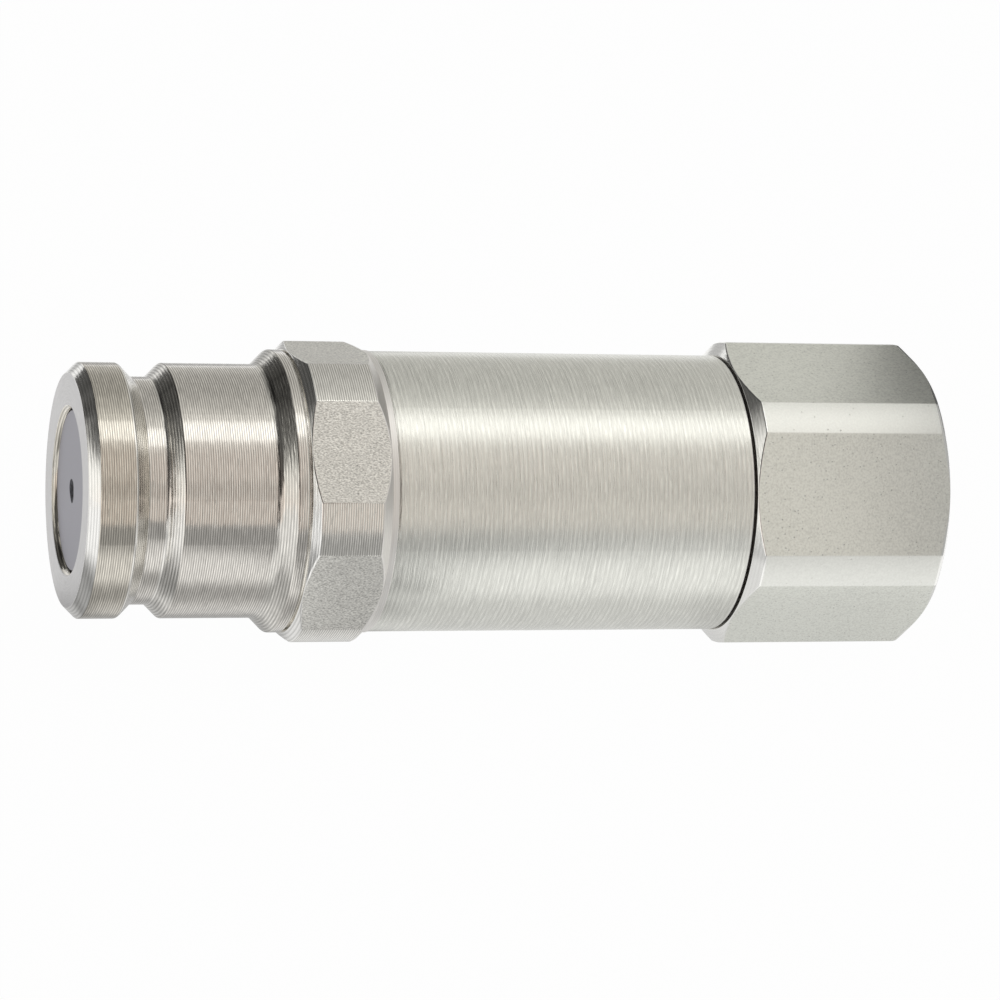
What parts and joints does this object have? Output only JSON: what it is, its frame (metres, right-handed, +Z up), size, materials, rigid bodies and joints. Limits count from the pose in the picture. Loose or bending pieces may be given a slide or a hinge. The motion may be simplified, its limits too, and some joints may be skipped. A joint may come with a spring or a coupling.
{
  "type": "hydraulic coupling nipple",
  "caption": "Flush-face hydraulic quick-coupling nipple: turned steel probe with a ball-lock groove, spring-loaded flat valve, spanner hexagons and a female pipe port.",
  "frame": {"origin": "centre of the flush mating face at the nose, on the nipple's axis", "axes": "+X along the axis from the nose to the port, +Z up with two rear hexagon flats level"},
  "size_m": [0.0834, 0.0294, 0.0286],
  "materials": {
    "plated_body": "bright plated steel with fine turning lines, satin grained hexagon flats",
    "plated_adapter": "bright plated steel, satin drawn hexagon flats with small pits",
    "valve_steel": "ground steel, slightly blue grey",
    "guide_steel": "turned steel",
    "spring_wire": "drawn spring wire",
    "seal_rubber": "moulded black rubber",
    "backup_plastic": "white fluoroplastic"
  },
  "bodies": {
    "housing": {"nipple_body": "plated_body", "adapter": "plated_adapter", "valve_guide": "guide_steel", "valve_spring": "spring_wire", "adapter_seal": "seal_rubber", "adapter_backup_ring": "backup_plastic"},
    "valve": {"valve_poppet": "valve_steel", "valve_seal": "seal_rubber"}
  },
  "joints": [
    {"name": "valve_slide", "type": "slide", "parent": "housing", "child": "valve", "axis": [1, 0, 0], "range_m": [0, 0.0095], "stiffness_N_per_m": 3800, "springref_m": -0.004, "deforming": ["valve_spring"]}
  ]
}
